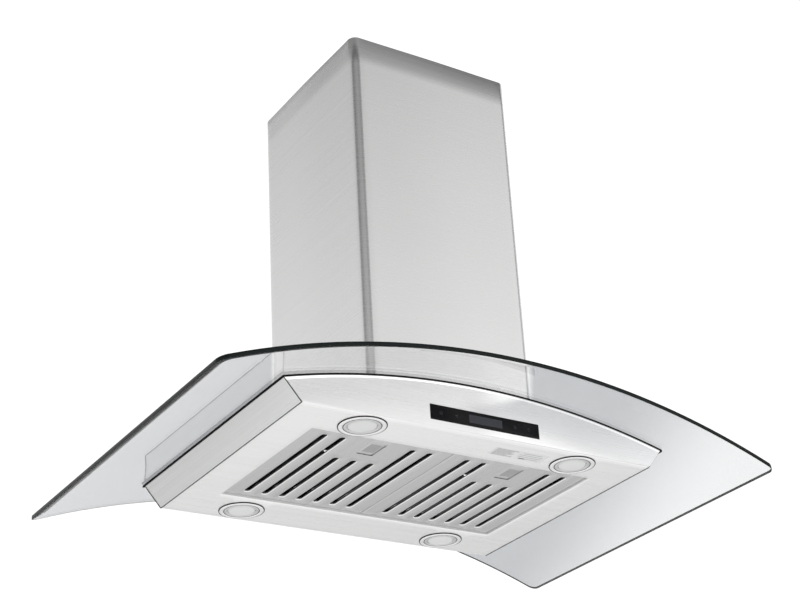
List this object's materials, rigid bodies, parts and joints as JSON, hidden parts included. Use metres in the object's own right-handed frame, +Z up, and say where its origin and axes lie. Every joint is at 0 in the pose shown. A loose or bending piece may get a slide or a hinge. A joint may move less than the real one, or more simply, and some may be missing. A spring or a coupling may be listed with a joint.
{
  "type": "island range hood",
  "caption": "Ceiling-hung island range hood: a bent glass canopy on a flat steel body with two baffle filters, recessed lamps and touch controls, under a square chimney.",
  "frame": {"origin": "centre of the ceiling plane, where the ceiling plate is screwed up", "axes": "+Z up, +X along the longer side of the glass, -Y towards the side with the touch controls"},
  "size_m": [0.9, 0.61, 0.6773],
  "materials": {
    "brushed_steel": "fine horizontal brushing, satin",
    "galvanised_steel": "dull zinc spangle",
    "plated_steel": "bright zinc plate",
    "clear_glass": "clear, polished edges",
    "black_glass": "black backed, glossy",
    "frosted_lens": "frosted",
    "black_rubber": "matt",
    "dark_plastic": "fine grain",
    "pale_plastic": "fine grain",
    "display": "glossy window",
    "circuit_board": "solder mask",
    "motor_metal": "satin grey",
    "capacitor_can": "drawn can",
    "cable_sheath": "smooth flat cable"
  },
  "bodies": {
    "ceiling_frame": {"ceiling_plate": "galvanised_steel", "upper_chimney_cover": "brushed_steel", "upper_post_front_left": "galvanised_steel", "upper_post_front_right": "galvanised_steel", "upper_post_back_left": "galvanised_steel", "upper_post_back_right": "galvanised_steel"},
    "filter_left_body": {"filter_left_frame": "brushed_steel", "filter_left_baffles": "brushed_steel"},
    "filter_right_body": {"filter_right_frame": "brushed_steel", "filter_right_baffles": "brushed_steel"},
    "latch_left_slider": {"latch_left": "brushed_steel"},
    "latch_right_slider": {"latch_right": "brushed_steel"},
    "flap_front": {"damper_flap_front": "dark_plastic"},
    "flap_back": {"damper_flap_back": "dark_plastic"},
    "fan_wheel": {"impeller": "dark_plastic", "impeller_shaft": "plated_steel"},
    "hood_body": {"blower_box": "galvanised_steel", "cable_gland": "dark_plastic", "canopy_shell": "brushed_steel", "control_board": "circuit_board", "control_housing": "dark_plastic", "damper_pin": "plated_steel", "display_module": "display", "duct_collar": "dark_plastic", "filter_seat_frame": "brushed_steel", "glass_bolt_back_left": "plated_steel", "glass_bolt_back_right": "plated_steel", "glass_bolt_front_left": "plated_steel", "glass_bolt_front_right": "plated_steel", "glass_canopy": "clear_glass", "glass_clamp_frame": "galvanised_steel", "glass_gasket": "black_rubber", "inner_gasket": "black_rubber", "lamp_housing_back_left": "brushed_steel", "lamp_housing_back_right": "brushed_steel", "lamp_housing_front_left": "brushed_steel", "lamp_housing_front_right": "brushed_steel", "lamp_lens_back_left": "frosted_lens", "lamp_lens_back_right": "frosted_lens", "lamp_lens_front_left": "frosted_lens", "lamp_lens_front_right": "frosted_lens", "led_driver": "pale_plastic", "lower_chimney_cover": "brushed_steel", "lower_post_back_left": "galvanised_steel", "lower_post_back_right": "galvanised_steel", "lower_post_front_left": "galvanised_steel", "lower_post_front_right": "galvanised_steel", "motor": "motor_metal", "motor_bracket": "galvanised_steel", "power_box": "pale_plastic", "run_capacitor": "capacitor_can", "scroll_housing": "dark_plastic", "side_panel_left": "brushed_steel", "side_panel_right": "brushed_steel", "terminal_block": "pale_plastic", "top_plate": "galvanised_steel", "touch_panel": "black_glass", "wiring_ribbon": "cable_sheath"}
  },
  "joints": [
    {"name": "height_slide", "type": "slide", "parent": "ceiling_frame", "child": "hood_body", "axis": [0, 0, -1], "range_m": [0, 0.4]},
    {"name": "filter_left_drop", "type": "hinge", "parent": "hood_body", "child": "filter_left_body", "pos_m": [-0.11595, 0.1263, -0.6615], "axis": [1, 0, 0], "range_deg": [0, 80]},
    {"name": "filter_right_drop", "type": "hinge", "parent": "hood_body", "child": "filter_right_body", "pos_m": [0.11595, 0.1263, -0.6615], "axis": [1, 0, 0], "range_deg": [0, 80]},
    {"name": "latch_left_pull", "type": "slide", "parent": "filter_left_body", "child": "latch_left_slider", "axis": [0, 1, 0], "range_m": [0, 0.006], "stiffness_N_per_m": 300, "springref_m": -0.004},
    {"name": "latch_right_pull", "type": "slide", "parent": "filter_right_body", "child": "latch_right_slider", "axis": [0, 1, 0], "range_m": [0, 0.006], "stiffness_N_per_m": 300, "springref_m": -0.004},
    {"name": "flap_front_swing", "type": "hinge", "parent": "hood_body", "child": "flap_front", "pos_m": [0, 0, -0.3606], "axis": [-1, 0, 0], "range_deg": [0, 75]},
    {"name": "flap_back_swing", "type": "hinge", "parent": "hood_body", "child": "flap_back", "pos_m": [0, 0, -0.3606], "axis": [1, 0, 0], "range_deg": [0, 75]},
    {"name": "fan_spin", "type": "hinge", "parent": "hood_body", "child": "fan_wheel", "pos_m": [0, 0.014, -0.4896], "axis": [1, 0, 0], "continuous": true}
  ]
}
